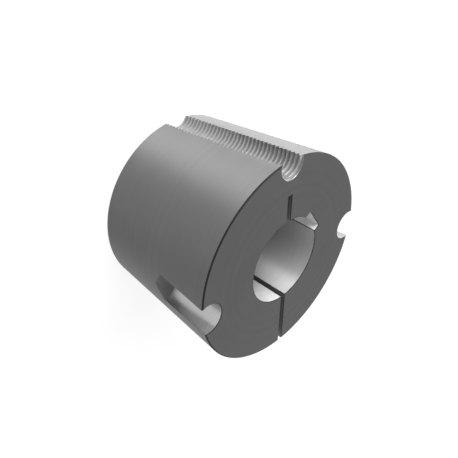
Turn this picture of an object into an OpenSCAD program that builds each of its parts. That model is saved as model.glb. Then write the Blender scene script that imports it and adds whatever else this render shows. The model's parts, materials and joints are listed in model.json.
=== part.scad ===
// Split taper bush. Three half holes lie round its rim and a keyed bore runs through it.
// It stands on its small end, with the jacking thread at +Y and the split at -Y.

/* [Body] */
// Diameter of the large end
large_d = 108; // [104:0.5:120]
// Length from end face to end face
body_length = 76.2; // [60:0.1:90]
// Full angle of the outside taper, in degrees
taper_angle = 8; // [6:0.5:10]
// Bevel on the outer edge of the large end
edge_bevel = 0.6; // [0.2:0.1:2]

/* [Bore and keyway] */
// Diameter of the bore
bore_d = 45; // [35:0.5:60]
// Width of the keyway
key_width = 14; // [8:0.5:18]
// Depth of the keyway, from the bore's wall to its floor
key_depth = 2.5; // [1.5:0.1:5]
// Angle from the jacking hole round to the middle of the keyway
key_angle = 55; // [45:1:75]

/* [Split and relief slit] */
// Width of the split that lets the bush close on its shaft
split_width = 2.5; // [1:0.1:5]
// Width of the relief slit between the bore and the jacking hole
slit_width = 2.5; // [1:0.1:5]
// Metal left between the end of the relief slit and the root of the thread
slit_web = 6.7; // [4:0.1:9]

/* [Screw half holes] */
// How far the axes of all three half holes lie inside the large end's rim
hole_inset = 3.2; // [2:0.1:5]
// Diameter of the two blind screw holes
screw_hole_d = 16; // [12:0.1:18]
// Depth of the screw holes at full diameter
screw_hole_depth = 30.5; // [20:0.5:45]
// Angle of the drill point at the bottom of the screw holes
drill_angle = 118; // [90:1:140]
// Angle from the jacking hole round to each screw hole
screw_hole_angle = 94.8; // [85:0.1:110]

/* [Jacking thread] */
// Major diameter of the thread
thread_d = 15.875; // [15:0.025:17]
// Diameter of the hole that is drilled before the thread is cut
tapping_d = 13.4; // [12.9:0.1:14.2]
// Pitch of the thread
thread_pitch = 2.309; // [1.8:0.001:2.6]
// Angle between the flanks of the thread, in degrees
flank_angle = 55; // [50:1:60]

/* [Hidden] */
$fn = 96;

// How far a cutter reaches past the face that it breaks through
overshoot = 1;

// Radii of the cone, the bore and the circle that the half holes' axes lie on
large_r = large_d / 2;
small_r = large_r - body_length * tan(taper_angle / 2);
bore_r = bore_d / 2;
hole_circle_r = large_r - hole_inset;

// Thread form: sharp V height, its cut-off at the root, and the root's rounding
thread_r = thread_d / 2;
tapping_r = tapping_d / 2;
half_flank = flank_angle / 2;
sharp_height = thread_pitch / 2 / tan(half_flank);
sharp_r = thread_r + sharp_height / 6;
root_round = 0.1373 * thread_pitch;
shoulder_r = thread_r - root_round * (1 - sin(half_flank));

// The groove cutter starts halfway between the tapped hole's wall and where turns would meet
groove_r = (tapping_r + sharp_r - sharp_height) / 2;

// Corners of the groove's section, as radius and height
groove_section = [
    [groove_r, -groove_half_width(groove_r)],
    [shoulder_r, -groove_half_width(shoulder_r)],
    [thread_r, 0],
    [shoulder_r, groove_half_width(shoulder_r)],
    [groove_r, groove_half_width(groove_r)]
];

// Each turn swings from the middle of the wall to past the rim on both sides
rim_rise = (large_r * large_r - hole_circle_r * hole_circle_r - thread_r * thread_r)
    / (2 * hole_circle_r);
turn_swing = 180 - acos(rim_rise / thread_r) + 12;
steps_per_turn = 16;
turns = ceil(body_length / thread_pitch);

// Half the width of the thread groove at a radius
function groove_half_width(radius) = (sharp_r - radius) * tan(half_flank);

// A corner of the groove's section, swung round the hole's axis and raised along the helix
function groove_point(corner, swing) = [
    corner[0] * sin(swing),
    -corner[0] * cos(swing),
    corner[1] + thread_pitch * swing / 360
];

// Tapered body of revolution with the bevelled large end
module tapered_blank() {
    bevel_foot_r = large_r - edge_bevel * tan(taper_angle / 2);
    rotate_extrude()
        polygon([
            [0, 0],
            [small_r, 0],
            [bevel_foot_r, body_length - edge_bevel],
            [bevel_foot_r - edge_bevel, body_length],
            [0, body_length]
        ]);
}

// Bore through both end faces
module bore() {
    translate([0, 0, -overshoot])
        cylinder(h = body_length + 2 * overshoot, r = bore_r);
}

// Straight slot through both end faces, from one distance out from the axis to another
module through_slot(width, from, to) {
    translate([-width / 2, from, -overshoot])
        cube([width, to - from, body_length + 2 * overshoot]);
}

// Keyway broached along the bore
module keyway() {
    rotate([0, 0, -key_angle])
        through_slot(key_width, 0, bore_r + key_depth);
}

// Relief slit from the bore towards the jacking hole
module relief_slit() {
    through_slot(slit_width, 0, hole_circle_r - thread_r - slit_web);
}

// Split through the wall, opposite the jacking hole
module split() {
    rotate([0, 0, 180])
        through_slot(split_width, 0, large_r + overshoot);
}

// Puts a cutter on the circle of half holes, at an angle round from +Y
module on_hole_circle(angle) {
    rotate([0, 0, angle])
        translate([0, hole_circle_r, 0])
            children();
}

// Blind drilled hole with its conical bottom, sunk from the large end
module screw_hole() {
    screw_hole_r = screw_hole_d / 2;
    point_depth = screw_hole_r / tan(drill_angle / 2);
    translate([0, 0, body_length - screw_hole_depth])
        rotate_extrude()
            polygon([
                [0, -point_depth],
                [screw_hole_r, 0],
                [screw_hole_r, screw_hole_depth + overshoot],
                [0, screw_hole_depth + overshoot]
            ]);
}

// One turn of the thread groove, swept along the helix over the arc that meets the wall
module groove_turn() {
    corners = len(groove_section);
    rings = [for (step = [0:steps_per_turn]) -turn_swing + 2 * turn_swing * step / steps_per_turn];
    sides = [
        for (step = [0:steps_per_turn - 1], corner = [0:corners - 1])
            let (next = (corner + 1) % corners)
            [
                step * corners + corner,
                step * corners + next,
                (step + 1) * corners + next,
                (step + 1) * corners + corner
            ]
    ];
    first_cap = [for (corner = [corners - 1:-1:0]) corner];
    last_cap = [for (corner = [0:corners - 1]) steps_per_turn * corners + corner];
    polyhedron(
        points = [for (swing = rings, corner = groove_section) groove_point(corner, swing)],
        faces = concat([first_cap], sides, [last_cap])
    );
}

// Tapped hole that runs the whole length
module jacking_hole() {
    translate([0, 0, -overshoot])
        cylinder(h = body_length + 2 * overshoot, r = tapping_r);
    for (turn = [0:turns])
        translate([0, 0, (turn - 0.5) * thread_pitch])
            groove_turn();
}

// The bush, turned, bored, drilled, tapped, broached and sawn from one casting
module bush() {
    color("dimgray")
        difference() {
            tapered_blank();
            bore();
            keyway();
            relief_slit();
            split();
            for (side = [-1, 1])
                on_hole_circle(side * screw_hole_angle)
                    screw_hole();
            on_hole_circle(0)
                jacking_hole();
        }
}

bush();
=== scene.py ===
"""Taper bush: a turned, bored, drilled, tapped and sawn cast-iron bush, standing on its small end."""
import json
import math
from collections.abc import Callable
from typing import NamedTuple

import bmesh
import bpy
from mathutils import Matrix, Quaternion, Vector


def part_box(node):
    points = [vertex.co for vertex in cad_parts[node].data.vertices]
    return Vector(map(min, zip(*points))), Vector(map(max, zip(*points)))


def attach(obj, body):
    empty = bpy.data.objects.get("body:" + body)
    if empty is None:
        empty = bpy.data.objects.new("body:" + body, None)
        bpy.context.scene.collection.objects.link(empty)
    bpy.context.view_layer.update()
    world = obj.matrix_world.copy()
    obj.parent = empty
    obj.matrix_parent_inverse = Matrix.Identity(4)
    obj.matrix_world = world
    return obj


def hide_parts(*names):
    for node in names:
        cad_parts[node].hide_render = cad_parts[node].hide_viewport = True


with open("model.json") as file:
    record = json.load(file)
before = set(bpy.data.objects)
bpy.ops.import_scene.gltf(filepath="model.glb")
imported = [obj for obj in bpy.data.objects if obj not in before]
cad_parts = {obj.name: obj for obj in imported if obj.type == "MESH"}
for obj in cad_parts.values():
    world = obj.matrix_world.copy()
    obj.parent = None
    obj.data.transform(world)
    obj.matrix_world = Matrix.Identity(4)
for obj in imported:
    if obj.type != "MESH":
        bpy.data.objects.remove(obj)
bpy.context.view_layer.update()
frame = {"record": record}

# Everything is worked out in millimetres, and the finished mesh is scaled to metres
MM = 0.001

mounts = {mount["name"]: mount for mount in frame["record"]["mounts"]}

# Body, as the frame gives it where it can
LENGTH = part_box("bush")[1].z / MM
LARGE_R = 54.0
TAPER_HALF_ANGLE = math.radians(4.0)
RIM_BEVEL = 0.6
BORE_R = mounts["shaft_bore"]["dims"]["r_mm"]

# Keyway, split and relief slit
KEY_WIDTH = 14.0
KEY_FLOOR = 25.0
KEY_ANGLE = math.radians(-55.0)
SPLIT_WIDTH = 2.5
SLIT_WIDTH = 2.5
SLIT_END = 36.16

# Half holes
JACK_Y = mounts["jacking_half_hole"]["pos_m"][1] / MM
TAPPING_R = mounts["jacking_half_hole"]["dims"]["r_mm"]
SCREW_HOLES = [mounts["screw_half_hole_left"], mounts["screw_half_hole_right"]]
DRILL_HALF_ANGLE = math.radians(59.0)

# Thread of 55 degree form, with its roots rounded by a fixed share of the pitch
PITCH = 2.309
THREAD_R = 7.9375
HALF_FLANK = math.radians(27.5)
ROOT_ROUND = 0.1373 * PITCH

# Edges: what deburring takes off, which edges it reaches, and which ones shade as a hard line
EDGE_BREAK = 0.30
BROKEN_ANGLE = math.radians(50.0)
HARD_ANGLE = math.radians(35.0)

# Fineness of the mesh
BODY_STEPS = 360
DRILL_STEPS = 128
TURN_STEPS = 64
ROOT_STEPS = 4
EDGE_STEPS = 2

# Points as close as this become one, first anywhere and then along the edges that are broken
WELD = 0.0005
SHORTEST_EDGE = 0.25

# Cutters start well inside the bore and reach past the ends
CUTTER_START = BORE_R - 8.0
OVERSHOOT = 2.0


# Material nodes
def feed(tree, socket, value):
    """Links a socket to another node's output, or sets it to a plain number."""
    if isinstance(value, bpy.types.NodeSocket):
        tree.links.new(value, socket)
    else:
        socket.default_value = value


def calculate(tree, operation, *values):
    """The result of a maths node on sockets and plain numbers."""
    node = tree.nodes.new("ShaderNodeMath")
    node.operation = operation
    for socket, value in zip(node.inputs, values):
        feed(tree, socket, value)
    return node.outputs["Value"]


def add_up(tree, start, *terms):
    """The start plus each of the (value, weight) terms."""
    total = start
    for value, weight in terms:
        total = calculate(tree, "MULTIPLY_ADD", value, weight, total)
    return total


def stretched(tree, place, x, y, z):
    """The place with each of its coordinates multiplied by a number of its own."""
    node = tree.nodes.new("ShaderNodeVectorMath")
    node.operation = "MULTIPLY"
    tree.links.new(place, node.inputs[0])
    node.inputs[1].default_value = (x, y, z)
    return node.outputs["Vector"]


def coordinates(tree, place):
    """The x, y and z of a place, each by itself."""
    node = tree.nodes.new("ShaderNodeSeparateXYZ")
    tree.links.new(place, node.inputs["Vector"])
    return node.outputs["X"], node.outputs["Y"], node.outputs["Z"]


def object_place(tree):
    """The place on the object in millimetres."""
    node = tree.nodes.new("ShaderNodeTexCoord")
    return stretched(tree, node.outputs["Object"], 1 / MM, 1 / MM, 1 / MM)


def noise(tree, source, size, detail=3.0, roughness=0.5):
    """Noise about zero, with lumps of about that many millimetres. The source is a place or a length."""
    middle = 0.5
    node = tree.nodes.new("ShaderNodeTexNoise")
    if source.type == "VECTOR":
        tree.links.new(source, node.inputs["Vector"])
    else:
        node.noise_dimensions = "1D"
        tree.links.new(source, node.inputs["W"])
    node.inputs["Scale"].default_value = 1.0 / size
    node.inputs["Detail"].default_value = detail
    node.inputs["Roughness"].default_value = roughness
    return calculate(tree, "SUBTRACT", node.outputs[0], middle)


# Tool marks, each as what changes across the marks and stays the same along them
def marks_round_axis(tree, place):
    """Rings at one height, from a tool that travels along the axis."""
    return coordinates(tree, place)[2]


def marks_on_face(tree, place):
    """Rings of one radius, from a tool that travels across an end face."""
    x, y, _ = coordinates(tree, place)
    x_square = calculate(tree, "MULTIPLY", x, x)
    return calculate(tree, "SQRT", calculate(tree, "MULTIPLY_ADD", y, y, x_square))


def marks_of_saw(tree, place):
    """Arcs from the rim of a slitting saw that travels along the axis."""
    saw_r = 63.0
    saw_centre_y = -79.0
    _, y, z = coordinates(tree, place)
    across = calculate(tree, "SUBTRACT", y, saw_centre_y)
    square = calculate(tree, "SUBTRACT", saw_r ** 2, calculate(tree, "MULTIPLY", across, across))
    return calculate(tree, "SUBTRACT", z, calculate(tree, "SQRT", square))


def marks_lengthwise(tree, place):
    """Scratches along the axis, from a tool that is drawn straight through."""
    scratch_stretch = 0.02
    return stretched(tree, place, 1.0, 1.0, scratch_stretch)


# The way that the marks run over a surface
def run_round_wall(tree):
    """Level along an upright wall, such as the taper's, the bore's or a drilled hole's."""
    upward = (0.0, 0.0, 1.0)
    surface = tree.nodes.new("ShaderNodeNewGeometry")
    cross = tree.nodes.new("ShaderNodeVectorMath")
    cross.operation = "CROSS_PRODUCT"
    cross.inputs[0].default_value = upward
    tree.links.new(surface.outputs["Normal"], cross.inputs[1])
    return cross.outputs["Vector"]


def run_round_face(tree):
    """Round the middle of an end face."""
    node = tree.nodes.new("ShaderNodeTangent")
    node.direction_type = "RADIAL"
    node.axis = "Z"
    return node.outputs["Tangent"]


# Finishes
class Finish(NamedTuple):
    """How a tool leaves the iron, at a tone which on several surfaces also holds painted light and
    painted shade.

    Pitch and depth are those of the tool's marks, in millimetres. Contrast is how strongly the marks
    show in the tone, and pull is how far the gloss spreads across them.
    """
    tone: float
    roughness: float
    metallic: float
    marks: Callable
    pitch: float
    depth: float = 0.006
    contrast: float = 0.5
    pull: float = 0.0
    run: Callable = run_round_wall
    gloss: float = 0.5


# One finish for each kind of surface, in the order of the mesh's material slots. Their tones are set
# surface by surface: painted light brightens the bore, the keyway and the drilled and tapped walls, and
# painted shade darkens the end faces and the broken edges
FINISHES = {
    "turned": Finish(
        tone=0.19, roughness=0.62, metallic=0.42,
        marks=marks_round_axis, pitch=0.30, pull=0.98,
    ),
    # Painted shade: the end faces get about half the taper's tone, so that they stay dark
    "faced_painted_shade": Finish(
        tone=0.093, roughness=0.70, metallic=0.20, gloss=0.1,
        marks=marks_on_face, pitch=0.30, contrast=0.6, pull=0.2, run=run_round_face,
    ),
    # Partly painted light: the bore gets about twice the taper's tone, as bright bored iron and as
    # painted light deep in the bore, where the lamps hardly reach
    "bored": Finish(
        tone=0.41, roughness=0.50, metallic=0.35,
        marks=marks_round_axis, pitch=0.22, contrast=0.4, pull=0.93,
    ),
    # Painted light: the keyway walls are nearly white, so that they show bright deep in the bore
    "broached": Finish(
        tone=0.95, roughness=0.46, metallic=0.25,
        marks=marks_lengthwise, pitch=0.35,
    ),
    "slotted": Finish(
        tone=0.20, roughness=0.50, metallic=0.40,
        marks=marks_lengthwise, pitch=0.35,
    ),
    "sawn": Finish(
        tone=0.20, roughness=0.52, metallic=0.40,
        marks=marks_of_saw, pitch=0.55, depth=0.012, contrast=0.7,
    ),
    # Partly painted light: the drilled walls get more than twice the taper's tone, as bright cut iron
    # and as painted light along the half holes
    "drilled": Finish(
        tone=0.46, roughness=0.34, metallic=0.95,
        marks=marks_round_axis, pitch=0.28, depth=0.004, contrast=0.4, pull=0.3,
    ),
    "drill_point": Finish(
        tone=0.17, roughness=0.50, metallic=0.50, gloss=0.3,
        marks=marks_round_axis, pitch=0.28, contrast=0.4,
    ),
    # Partly painted light: the thread gets more than twice the taper's tone, as bright cut iron and as
    # painted light in its grooves
    "tapped": Finish(
        tone=0.415, roughness=0.36, metallic=0.80,
        marks=marks_round_axis, pitch=0.40, depth=0.004, contrast=0.4, pull=0.3,
    ),
    # Painted shade: the broken edges are nearly black, so that every edge reads as a dark line, though
    # freshly broken iron is bright
    "broken_edge_painted_shade": Finish(
        tone=0.02, roughness=0.60, metallic=0.20, gloss=0.1,
        marks=marks_round_axis, pitch=0.60, contrast=0.4,
    ),
}
SLOTS = list(FINISHES)


# How much of each pattern goes into the iron's tone, its dullness and its relief
TONE_SHARES = {"fine": 0.5, "bands": 0.3, "clouds": 0.5, "flecks": -2.2}
DULLNESS_SHARES = {"fine": 0.18, "clouds": 0.2, "flecks": 1.2}
RELIEF_SHARES = {"fine": 1.0, "bands": 0.8, "flecks": -2.0}


def iron_patterns(tree, finish):
    """The tool's fine marks, slow bands across them, faint clouds, and flecks of graphite."""
    marks_per_band = 9
    cloud_size = 14.0
    fleck_size = 0.5
    fleck_threshold = 0.12
    place = object_place(tree)
    across = finish.marks(tree, place)
    fine = noise(tree, across, finish.pitch, detail=1.0)
    bands = noise(tree, across, marks_per_band * finish.pitch, roughness=0.6)
    clouds = noise(tree, place, cloud_size)
    grain = noise(tree, place, fleck_size, roughness=0.7)
    flecks = calculate(tree, "MAXIMUM", calculate(tree, "SUBTRACT", grain, fleck_threshold), 0.0)
    return {"fine": fine, "bands": bands, "clouds": clouds, "flecks": flecks}


def mixed(tree, start, patterns, shares):
    """The start plus the share that each pattern has."""
    return add_up(tree, start, *[(patterns[name], share) for name, share in shares.items()])


def machined_iron(name, finish):
    """A material of grey iron, in the finish that one tool leaves, at the finish's tone, which for
    several surfaces holds painted light and painted shade.
    """
    tone_spread = 0.35
    even_mix = 0.5
    quarter_turn = 0.25

    material = bpy.data.materials.new(name)
    material.use_nodes = True
    tree = material.node_tree
    shader = tree.nodes["Principled BSDF"]
    patterns = iron_patterns(tree, finish)

    shade = mixed(tree, 0.0, patterns, TONE_SHARES)
    mix = tree.nodes.new("ShaderNodeMix")
    mix.data_type = "RGBA"
    tree.links.new(add_up(tree, even_mix, (shade, finish.contrast)), mix.inputs["Factor"])
    mix.inputs["A"].default_value = grey(finish.tone * (1 - tone_spread))
    mix.inputs["B"].default_value = grey(finish.tone * (1 + tone_spread))
    tree.links.new(mix.outputs["Result"], shader.inputs["Base Color"])

    dullness = mixed(tree, finish.roughness, patterns, DULLNESS_SHARES)
    tree.links.new(dullness, shader.inputs["Roughness"])
    shader.inputs["Metallic"].default_value = finish.metallic
    shader.inputs["Specular IOR Level"].default_value = finish.gloss
    shader.inputs["Anisotropic"].default_value = finish.pull
    shader.inputs["Anisotropic Rotation"].default_value = quarter_turn
    tree.links.new(finish.run(tree), shader.inputs["Tangent"])

    bump = tree.nodes.new("ShaderNodeBump")
    bump.inputs["Distance"].default_value = finish.depth * MM
    tree.links.new(mixed(tree, 0.0, patterns, RELIEF_SHARES), bump.inputs["Height"])
    tree.links.new(bump.outputs["Normal"], shader.inputs["Normal"])


def grey(level):
    """An opaque grey of that level."""
    return (level, level, level, 1.0)


# Mesh building
def make_object(name, points, faces, finishes):
    """A closed mesh with one finish name for each face."""
    mesh = bpy.data.meshes.new(name)
    mesh.from_pydata(points, [], faces)
    for slot in SLOTS:
        mesh.materials.append(bpy.data.materials[slot])
    for polygon, finish in zip(mesh.polygons, finishes):
        polygon.material_index = SLOTS.index(finish)
    shape = bmesh.new()
    shape.from_mesh(mesh)
    bmesh.ops.recalc_face_normals(shape, faces=shape.faces)
    shape.to_mesh(mesh)
    shape.free()
    made = bpy.data.objects.new(name, mesh)
    bpy.context.scene.collection.objects.link(made)
    return made


def revolve(name, profile, finishes, steps):
    """A closed ring made by turning a profile of (radius, height) points about the axis."""
    count = len(profile)
    points = []
    faces = []
    face_finishes = []
    for step in range(steps):
        angle = 2 * math.pi * step / steps
        for radius, height in profile:
            points.append((radius * math.cos(angle), radius * math.sin(angle), height))
        here = step * count
        there = (step + 1) % steps * count
        for corner in range(count):
            after = (corner + 1) % count
            faces.append((here + corner, there + corner, there + after, here + after))
            face_finishes.append(finishes[corner])
    return make_object(name, points, faces, face_finishes)


def turned_blank(name):
    """The tapered body with its bevelled large end and its bore."""
    slope = math.tan(TAPER_HALF_ANGLE)
    bevel_foot_r = LARGE_R - RIM_BEVEL * slope
    # Each finish is that of the wall from one point of the profile to the next
    profile = [
        (BORE_R, 0.0),
        (LARGE_R - LENGTH * slope, 0.0),
        (bevel_foot_r, LENGTH - RIM_BEVEL),
        (bevel_foot_r - RIM_BEVEL, LENGTH),
        (BORE_R, LENGTH),
    ]
    # The end faces carry painted shade in their finish, the rim bevel the nearly black painted shade of
    # the broken edges, and the bore partly painted light
    finishes = ["faced_painted_shade", "turned", "broken_edge_painted_shade", "faced_painted_shade", "bored"]
    return revolve(name, profile, finishes, BODY_STEPS)


def slot_cutter(name, width, outer, angle, finish):
    """A straight bar along the bore that cuts out to a distance from the axis."""
    half = width / 2
    corners = [(-half, CUTTER_START), (half, CUTTER_START), (half, outer), (-half, outer)]
    points = []
    for height in (-OVERSHOOT, LENGTH + OVERSHOOT):
        for x, y in corners:
            points.append((
                x * math.cos(angle) - y * math.sin(angle),
                x * math.sin(angle) + y * math.cos(angle),
                height,
            ))
    faces = [(0, 1, 2, 3), (4, 5, 6, 7), (0, 1, 5, 4), (1, 2, 6, 5), (2, 3, 7, 6), (3, 0, 4, 7)]
    return make_object(name, points, faces, [finish] * len(faces))


def drill_cutter(name, mount):
    """A drill with its point, sunk from the large end to the depth that the mount gives."""
    centre_x = mount["pos_m"][0] / MM
    centre_y = mount["pos_m"][1] / MM
    radius = mount["dims"]["r_mm"]
    shoulder = LENGTH - mount["dims"]["length_mm"]
    tip = shoulder - radius / math.tan(DRILL_HALF_ANGLE)
    top = LENGTH + OVERSHOOT
    # The first two points are the tip and the middle of the top, and each step adds two more
    points = [(centre_x, centre_y, tip), (centre_x, centre_y, top)]
    faces = []
    for step in range(DRILL_STEPS):
        angle = 2 * math.pi * step / DRILL_STEPS
        x = centre_x + radius * math.cos(angle)
        y = centre_y + radius * math.sin(angle)
        points.extend([(x, y, shoulder), (x, y, top)])
        low = 2 + 2 * step
        high = low + 1
        next_low = 2 + 2 * ((step + 1) % DRILL_STEPS)
        next_high = next_low + 1
        faces.extend([(low, next_low, next_high, high), (0, next_low, low), (1, high, next_high)])
    return make_object(name, points, faces, ["drilled", "drill_point", "drilled"] * DRILL_STEPS)


def groove_profile():
    """The tapped wall over one pitch, as (height, radius) points from a crest through the root."""
    # The form is a sharp V with one sixth of its height taken off at the root
    sharp_height = PITCH / 2 / math.tan(HALF_FLANK)
    sharp_r = THREAD_R + sharp_height / 6
    crest_half = (sharp_r - TAPPING_R) * math.tan(HALF_FLANK)
    profile = [(-PITCH / 2, TAPPING_R), (-crest_half, TAPPING_R)]
    for step in range(ROOT_STEPS + 1):
        tilt = (math.pi / 2 - HALF_FLANK) * (2 * step / ROOT_STEPS - 1)
        profile.append((ROOT_ROUND * math.sin(tilt), THREAD_R - ROOT_ROUND * (1 - math.cos(tilt))))
    profile.append((crest_half, TAPPING_R))
    return profile


def tap_cutter(name):
    """A threaded rod that reaches past both ends. Each turn starts on the side of the bush's axis."""
    profile = groove_profile()
    count = len(profile)
    spare_turns = 2
    lead_in = spare_turns + 0.5
    steps = (math.ceil(LENGTH / PITCH) + 2 * spare_turns) * TURN_STEPS
    points = []
    for step in range(steps + 1):
        swing = 2 * math.pi * step / TURN_STEPS
        middle = PITCH * (step / TURN_STEPS - lead_in)
        for height, radius in profile:
            points.append((radius * math.sin(swing), JACK_Y - radius * math.cos(swing), middle + height))
    # The last corner of each turn is joined to the first one of the turn above it
    turn_up = TURN_STEPS * count
    last = count - 1
    faces = []
    for step in range(steps):
        here = step * count
        there = here + count
        for corner in range(last):
            faces.append((here + corner, there + corner, there + corner + 1, here + corner + 1))
        if step + TURN_STEPS < steps:
            faces.append((here + last, there + last, there + turn_up, here + turn_up))
    rod = make_object(name, points, faces, ["tapped"] * len(faces))
    close_ends(rod.data)
    return rod


def close_ends(mesh):
    """Closes both open ends of the threaded rod with a fan of faces to a point on its axis."""
    tip_reach = 1.0
    shape = bmesh.new()
    shape.from_mesh(mesh)
    open_edges = [edge for edge in shape.edges if edge.is_boundary]
    for low in (True, False):
        ring = [edge for edge in open_edges if (edge.verts[0].co.z < LENGTH / 2) == low]
        heights = [vert.co.z for edge in ring for vert in edge.verts]
        tip_height = min(heights) - tip_reach if low else max(heights) + tip_reach
        tip = shape.verts.new((0.0, JACK_Y, tip_height))
        for edge in ring:
            shape.faces.new((*edge.verts, tip))
    bmesh.ops.recalc_face_normals(shape, faces=shape.faces)
    shape.to_mesh(mesh)
    shape.free()


def cut(body, cutter):
    """Takes the cutter's volume out of the body. The cut faces keep the cutter's finish."""
    modifier = body.modifiers.new("cut", "BOOLEAN")
    modifier.operation = "DIFFERENCE"
    modifier.solver = "EXACT"
    modifier.material_mode = "INDEX"
    modifier.object = cutter
    bake_modifiers(body)
    bpy.data.objects.remove(cutter)


def bake_modifiers(body):
    """Makes what the body's modifiers show into its mesh."""
    graph = bpy.context.evaluated_depsgraph_get()
    mesh = bpy.data.meshes.new_from_object(body.evaluated_get(graph))
    body.modifiers.clear()
    body.data = mesh


def join_flat_faces(shape):
    """Makes one face of each end face, which the turned blank has in narrow wedges."""
    faced_painted_shade = SLOTS.index("faced_painted_shade")
    flat = []
    for edge in shape.edges:
        if len(edge.link_faces) == 2 and all(face.material_index == faced_painted_shade for face in edge.link_faces):
            flat.append(edge)
    bmesh.ops.dissolve_edges(shape, edges=flat, use_verts=True)


def outer_edges(shape):
    """The outer edges to break: not the thread's, nor those where a drill runs out of the taper."""
    tapped = SLOTS.index("tapped")
    # The facets cross these so flatly that a break would fold over itself
    run_outs = [{"drilled", "turned"}, {"drilled", "broken_edge_painted_shade"}, {"drill_point", "turned"}]
    found = []
    for edge in shape.edges:
        if len(edge.link_faces) != 2 or not edge.is_convex:
            continue
        near_faces = [face for vert in edge.verts for face in vert.link_faces]
        touches_thread = any(face.material_index == tapped for face in near_faces)
        finishes = {SLOTS[face.material_index] for face in edge.link_faces}
        reached = not touches_thread and finishes not in run_outs
        if reached and edge.calc_face_angle() > BROKEN_ANGLE:
            found.append(edge)
    return found


def break_edges(body):
    """Takes the sharpness off the outer edges, as a deburring tool does."""
    shape = bmesh.new()
    shape.from_mesh(body.data)
    bmesh.ops.remove_doubles(shape, verts=shape.verts, dist=WELD)
    join_flat_faces(shape)
    # A break would fold over itself on a very short edge, so the two ends of such an edge become one.
    # The points are kept in the mesh's order, so that each run makes the same bush
    edge_points = dict.fromkeys(vert for edge in outer_edges(shape) for vert in edge.verts)
    bmesh.ops.remove_doubles(shape, verts=list(edge_points), dist=SHORTEST_EDGE)
    weight = shape.edges.layers.float.new("bevel_weight_edge")
    for edge in outer_edges(shape):
        edge[weight] = 1.0
    shape.to_mesh(body.data)
    shape.free()
    modifier = body.modifiers.new("edge_break", "BEVEL")
    modifier.limit_method = "WEIGHT"
    modifier.offset_type = "OFFSET"
    modifier.width = EDGE_BREAK
    modifier.segments = EDGE_STEPS
    modifier.use_clamp_overlap = False
    # The broken edges take the nearly black finish, painted shade that draws them as dark lines
    modifier.material = SLOTS.index("broken_edge_painted_shade")
    bake_modifiers(body)


def smooth_round_faces(body):
    """Smooth shading everywhere, with a hard line where two surfaces meet at an angle."""
    shape = bmesh.new()
    shape.from_mesh(body.data)
    for face in shape.faces:
        face.smooth = True
    for edge in shape.edges:
        edge.smooth = len(edge.link_faces) == 2 and edge.calc_face_angle() < HARD_ANGLE
    shape.to_mesh(body.data)
    shape.free()
    modifier = body.modifiers.new("even_normals", "WEIGHTED_NORMAL")
    modifier.keep_sharp = True


def build_bush():
    """The bush, cut and deburred in millimetres and then scaled to metres."""
    bush = turned_blank("machined_bush")
    # The keyway's walls take a nearly white finish, which is painted light
    cut(bush, slot_cutter("keyway", KEY_WIDTH, KEY_FLOOR, KEY_ANGLE, "broached"))
    cut(bush, slot_cutter("relief_slit", SLIT_WIDTH, SLIT_END, 0.0, "slotted"))
    cut(bush, slot_cutter("split", SPLIT_WIDTH, LARGE_R + OVERSHOOT, math.pi, "sawn"))
    for number, mount in enumerate(SCREW_HOLES):
        cut(bush, drill_cutter(f"drill_{number}", mount))
    cut(bush, tap_cutter("tap"))
    break_edges(bush)
    bush.data.transform(Matrix.Scale(MM, 4))
    smooth_round_faces(bush)
    return bush


# Surroundings
def direction(azimuth, elevation):
    """The direction from the object towards something that many degrees round from +X and that high."""
    turn = math.radians(azimuth)
    rise = math.radians(elevation)
    level = math.cos(rise)
    return Vector((level * math.cos(turn), level * math.sin(turn), math.sin(rise)))


def place_camera():
    """The photograph's isometric view, rolled so that the tapped hole is uppermost."""
    backward = direction(azimuth=135.0, elevation=35.2644)
    roll = math.radians(120.0)
    distance = 0.28228
    aim = Vector((-0.00011, -0.00065, 0.0381))
    image_side = 458
    focal_pixels = 544.19
    data = bpy.data.cameras.new("camera")
    data.sensor_width = 36.0
    data.lens = data.sensor_width * focal_pixels / image_side
    data.clip_start = 0.01
    camera = bpy.data.objects.new("camera", data)
    bpy.context.scene.collection.objects.link(camera)
    camera.location = aim + backward * distance
    camera.rotation_mode = "QUATERNION"
    camera.rotation_quaternion = backward.to_track_quat("Z", "Y") @ Quaternion((0, 0, 1), roll)
    bpy.context.scene.camera = camera


def seen_as_background(tree):
    """One for camera rays, reflections and clear glass, and nought for the rays that only light."""
    path = tree.nodes.new("ShaderNodeLightPath")
    seen = calculate(tree, "MAXIMUM", path.outputs["Is Camera Ray"], path.outputs["Is Glossy Ray"])
    return calculate(tree, "MAXIMUM", seen, path.outputs["Is Transmission Ray"])


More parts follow.
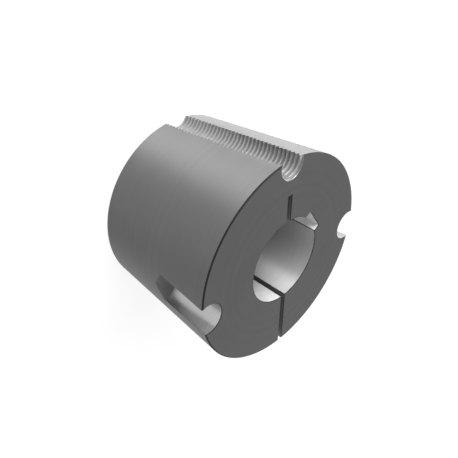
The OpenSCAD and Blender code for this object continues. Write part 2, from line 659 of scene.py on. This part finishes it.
def floor_material():
    """Grey paint, with a white glow that only the camera and reflections see."""
    paint_level = 0.2
    glow_level = 0.87
    material = bpy.data.materials.new("floor")
    material.use_nodes = True
    tree = material.node_tree
    tree.nodes.clear()
    glow = tree.nodes.new("ShaderNodeEmission")
    glow_where_seen = calculate(tree, "MULTIPLY", seen_as_background(tree), glow_level)
    tree.links.new(glow_where_seen, glow.inputs["Strength"])
    paint = tree.nodes.new("ShaderNodeBsdfDiffuse")
    paint.inputs["Color"].default_value = grey(paint_level)
    both = tree.nodes.new("ShaderNodeAddShader")
    tree.links.new(paint.outputs["BSDF"], both.inputs[0])
    tree.links.new(glow.outputs["Emission"], both.inputs[1])
    out = tree.nodes.new("ShaderNodeOutputMaterial")
    tree.links.new(both.outputs["Shader"], out.inputs["Surface"])
    return material


def make_floor():
    """A floor that stays white to the camera and in reflections, and keeps a soft shadow."""
    reach = 4.0
    mesh = bpy.data.meshes.new("floor")
    corners = [(-reach, -reach, 0), (reach, -reach, 0), (reach, reach, 0), (-reach, reach, 0)]
    mesh.from_pydata(corners, [], [(0, 1, 2, 3)])
    mesh.materials.append(floor_material())
    floor = bpy.data.objects.new("floor", mesh)
    bpy.context.scene.collection.objects.link(floor)


def make_world(light_level):
    """A sky that lights softly at the given level, and is white to the camera and in reflections."""
    world = bpy.data.worlds.new("studio")
    world.use_nodes = True
    tree = world.node_tree
    sky = tree.nodes["Background"]
    sky.inputs["Color"].default_value = grey(1.0)
    level = add_up(tree, light_level, (seen_as_background(tree), 1.0 - light_level))
    tree.links.new(level, sky.inputs["Strength"])
    bpy.context.scene.world = world


def make_lamp(name, azimuth, elevation, strength, spread):
    """A distant soft lamp, with its direction and its own width in degrees."""
    data = bpy.data.lights.new(name, "SUN")
    data.energy = strength
    data.angle = math.radians(spread)
    lamp = bpy.data.objects.new(name, data)
    bpy.context.scene.collection.objects.link(lamp)
    lamp.rotation_mode = "QUATERNION"
    lamp.rotation_quaternion = direction(azimuth, elevation).to_track_quat("Z", "Y")


# The piece
for name, finish in FINISHES.items():
    machined_iron(name, finish)
bush = build_bush()
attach(bush, "root")
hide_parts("bush")

# The picture
place_camera()
make_floor()
make_world(light_level=0.20)
make_lamp("key", azimuth=90.0, elevation=25.0, strength=3.5, spread=43.0)
make_lamp("rake", azimuth=33.0, elevation=10.0, strength=5.4, spread=53.0)
make_lamp("fill", azimuth=250.0, elevation=25.0, strength=0.72, spread=60.0)
bpy.context.scene.view_settings.view_transform = "Standard"
